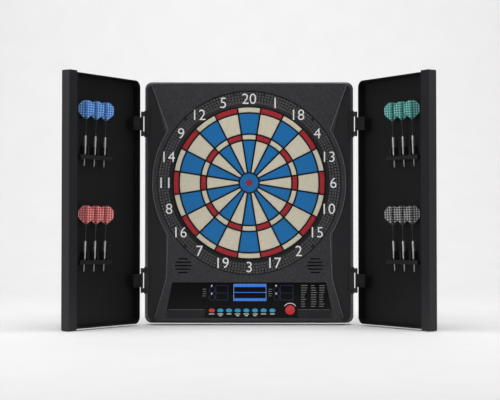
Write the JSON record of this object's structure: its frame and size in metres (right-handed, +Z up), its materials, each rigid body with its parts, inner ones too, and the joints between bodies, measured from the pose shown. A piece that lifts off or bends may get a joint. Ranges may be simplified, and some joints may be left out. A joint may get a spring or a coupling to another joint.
{
  "type": "electronic dart board cabinet",
  "caption": "Wall-hung electronic dart board with a segmented round target, a display and buttons, and hinged doors with racks of soft-tip darts.",
  "frame": {"origin": "centre of the flat back face, where the cabinet lies against the wall", "axes": "+Z up, the front faces -Y, +X to the right as seen from the front"},
  "size_m": [0.797, 0.2482, 0.555],
  "materials": {
    "housing": "fine moulded grain",
    "cover": "moulded",
    "ring": "satin, perforated texture",
    "spider": "satin",
    "double_segment": "satin",
    "outer_segment": "satin",
    "treble_segment": "satin",
    "inner_segment": "satin",
    "outer_bull": "satin",
    "inner_bull": "satin",
    "rubber": "matt",
    "film": "printed film",
    "lens": "polished",
    "display": "glass face",
    "circuit_board": "solder mask",
    "speaker": "paper cone",
    "jack": "moulded",
    "button_red": "satin",
    "button_blue": "satin",
    "start_button": "satin",
    "hinge_bracket": "moulded",
    "hinge_pin": "drawn wire",
    "door": "fine moulded grain",
    "stile": "satin",
    "hinge_leaf": "moulded",
    "rack": "moulded",
    "dart_blue": "printed film flights, nickel barrel",
    "dart_red": "printed film flights, nickel barrel",
    "dart_green": "printed film flights, nickel barrel",
    "dart_black": "printed film flights, nickel barrel"
  },
  "bodies": {
    "cabinet": {"front_housing": "housing", "rear_cover": "cover", "number_ring": "ring", "spider": "spider", "rubber_mat": "rubber", "sensor_membrane": "film", "display_lens": "lens", "display_module": "display", "control_board": "circuit_board", "speaker_left": "speaker", "speaker_right": "speaker", "power_jack": "jack", "left_upper_hinge_bracket": "hinge_bracket", "left_upper_hinge_pin": "hinge_pin", "left_lower_hinge_bracket": "hinge_bracket", "left_lower_hinge_pin": "hinge_pin", "right_upper_hinge_bracket": "hinge_bracket", "right_upper_hinge_pin": "hinge_pin", "right_lower_hinge_bracket": "hinge_bracket", "right_lower_hinge_pin": "hinge_pin"},
    "double_segments": {"double_segments": "double_segment"},
    "outer_single_segments": {"outer_single_segments": "outer_segment"},
    "treble_segments": {"treble_segments": "treble_segment"},
    "inner_single_segments": {"inner_single_segments": "inner_segment"},
    "outer_bull": {"outer_bull": "outer_bull"},
    "inner_bull": {"inner_bull": "inner_bull"},
    "button_1": {"button_1": "button_red"},
    "button_2": {"button_2": "button_blue"},
    "button_3": {"button_3": "button_blue"},
    "button_4": {"button_4": "button_blue"},
    "button_5": {"button_5": "button_blue"},
    "button_6": {"button_6": "button_blue"},
    "button_7": {"button_7": "button_blue"},
    "button_8": {"button_8": "button_blue"},
    "start_button": {"start_button": "start_button"},
    "left_door": {"left_door_shell": "door", "left_door_stile": "stile", "left_upper_hinge_leaf": "hinge_leaf", "left_upper_dart_rack": "rack", "left_lower_hinge_leaf": "hinge_leaf", "left_lower_dart_rack": "rack"},
    "left_upper_dart_1": {"left_upper_dart_1": "dart_blue"},
    "left_upper_dart_2": {"left_upper_dart_2": "dart_blue"},
    "left_upper_dart_3": {"left_upper_dart_3": "dart_blue"},
    "left_lower_dart_1": {"left_lower_dart_1": "dart_red"},
    "left_lower_dart_2": {"left_lower_dart_2": "dart_red"},
    "left_lower_dart_3": {"left_lower_dart_3": "dart_red"},
    "right_door": {"right_door_shell": "door", "right_door_stile": "stile", "right_upper_hinge_leaf": "hinge_leaf", "right_upper_dart_rack": "rack", "right_lower_hinge_leaf": "hinge_leaf", "right_lower_dart_rack": "rack"},
    "right_upper_dart_1": {"right_upper_dart_1": "dart_green"},
    "right_upper_dart_2": {"right_upper_dart_2": "dart_green"},
    "right_upper_dart_3": {"right_upper_dart_3": "dart_green"},
    "right_lower_dart_1": {"right_lower_dart_1": "dart_black"},
    "right_lower_dart_2": {"right_lower_dart_2": "dart_black"},
    "right_lower_dart_3": {"right_lower_dart_3": "dart_black"}
  },
  "joints": [
    {"name": "left_door_hinge", "type": "hinge", "parent": "cabinet", "child": "left_door", "pos_m": [-0.242, -0.051, 0], "axis": [0, 0, -1], "range_deg": [-124.5, 55.5]},
    {"name": "left_upper_dart_1_lift", "type": "slide", "parent": "left_door", "child": "left_upper_dart_1", "axis": [0.0431, -0.0296, 0.9986], "range_m": [0, 0.04]},
    {"name": "left_upper_dart_2_lift", "type": "slide", "parent": "left_door", "child": "left_upper_dart_2", "axis": [0.0431, -0.0296, 0.9986], "range_m": [0, 0.04]},
    {"name": "left_upper_dart_3_lift", "type": "slide", "parent": "left_door", "child": "left_upper_dart_3", "axis": [0.0431, -0.0296, 0.9986], "range_m": [0, 0.04]},
    {"name": "left_lower_dart_1_lift", "type": "slide", "parent": "left_door", "child": "left_lower_dart_1", "axis": [0.0431, -0.0296, 0.9986], "range_m": [0, 0.04]},
    {"name": "left_lower_dart_2_lift", "type": "slide", "parent": "left_door", "child": "left_lower_dart_2", "axis": [0.0431, -0.0296, 0.9986], "range_m": [0, 0.04]},
    {"name": "left_lower_dart_3_lift", "type": "slide", "parent": "left_door", "child": "left_lower_dart_3", "axis": [0.0431, -0.0296, 0.9986], "range_m": [0, 0.04]},
    {"name": "right_door_hinge", "type": "hinge", "parent": "cabinet", "child": "right_door", "pos_m": [0.242, -0.051, 0], "axis": [0, 0, 1], "range_deg": [-124.5, 55.5]},
    {"name": "right_upper_dart_1_lift", "type": "slide", "parent": "right_door", "child": "right_upper_dart_1", "axis": [-0.0431, -0.0296, 0.9986], "range_m": [0, 0.04]},
    {"name": "right_upper_dart_2_lift", "type": "slide", "parent": "right_door", "child": "right_upper_dart_2", "axis": [-0.0431, -0.0296, 0.9986], "range_m": [0, 0.04]},
    {"name": "right_upper_dart_3_lift", "type": "slide", "parent": "right_door", "child": "right_upper_dart_3", "axis": [-0.0431, -0.0296, 0.9986], "range_m": [0, 0.04]},
    {"name": "right_lower_dart_1_lift", "type": "slide", "parent": "right_door", "child": "right_lower_dart_1", "axis": [-0.0431, -0.0296, 0.9986], "range_m": [0, 0.04]},
    {"name": "right_lower_dart_2_lift", "type": "slide", "parent": "right_door", "child": "right_lower_dart_2", "axis": [-0.0431, -0.0296, 0.9986], "range_m": [0, 0.04]},
    {"name": "right_lower_dart_3_lift", "type": "slide", "parent": "right_door", "child": "right_lower_dart_3", "axis": [-0.0431, -0.0296, 0.9986], "range_m": [0, 0.04]},
    {"name": "double_segments_press", "type": "slide", "parent": "cabinet", "child": "double_segments", "axis": [0, 1, 0], "range_m": [0, 0.0015], "stiffness_N_per_m": 4000},
    {"name": "outer_single_segments_press", "type": "slide", "parent": "cabinet", "child": "outer_single_segments", "axis": [0, 1, 0], "range_m": [0, 0.0015], "stiffness_N_per_m": 4000},
    {"name": "treble_segments_press", "type": "slide", "parent": "cabinet", "child": "treble_segments", "axis": [0, 1, 0], "range_m": [0, 0.0015], "stiffness_N_per_m": 4000},
    {"name": "inner_single_segments_press", "type": "slide", "parent": "cabinet", "child": "inner_single_segments", "axis": [0, 1, 0], "range_m": [0, 0.0015], "stiffness_N_per_m": 4000},
    {"name": "outer_bull_press", "type": "slide", "parent": "cabinet", "child": "outer_bull", "axis": [0, 1, 0], "range_m": [0, 0.0015], "stiffness_N_per_m": 1200},
    {"name": "inner_bull_press", "type": "slide", "parent": "cabinet", "child": "inner_bull", "axis": [0, 1, 0], "range_m": [0, 0.0015], "stiffness_N_per_m": 600},
    {"name": "button_1_press", "type": "slide", "parent": "cabinet", "child": "button_1", "axis": [0, 1, 0], "range_m": [0, 0.0015], "stiffness_N_per_m": 500},
    {"name": "button_2_press", "type": "slide", "parent": "cabinet", "child": "button_2", "axis": [0, 1, 0], "range_m": [0, 0.0015], "stiffness_N_per_m": 500},
    {"name": "button_3_press", "type": "slide", "parent": "cabinet", "child": "button_3", "axis": [0, 1, 0], "range_m": [0, 0.0015], "stiffness_N_per_m": 500},
    {"name": "button_4_press", "type": "slide", "parent": "cabinet", "child": "button_4", "axis": [0, 1, 0], "range_m": [0, 0.0015], "stiffness_N_per_m": 500},
    {"name": "button_5_press", "type": "slide", "parent": "cabinet", "child": "button_5", "axis": [0, 1, 0], "range_m": [0, 0.0015], "stiffness_N_per_m": 500},
    {"name": "button_6_press", "type": "slide", "parent": "cabinet", "child": "button_6", "axis": [0, 1, 0], "range_m": [0, 0.0015], "stiffness_N_per_m": 500},
    {"name": "button_7_press", "type": "slide", "parent": "cabinet", "child": "button_7", "axis": [0, 1, 0], "range_m": [0, 0.0015], "stiffness_N_per_m": 500},
    {"name": "button_8_press", "type": "slide", "parent": "cabinet", "child": "button_8", "axis": [0, 1, 0], "range_m": [0, 0.0015], "stiffness_N_per_m": 500},
    {"name": "start_button_press", "type": "slide", "parent": "cabinet", "child": "start_button", "axis": [0, 1, 0], "range_m": [0, 0.0015], "stiffness_N_per_m": 500}
  ]
}
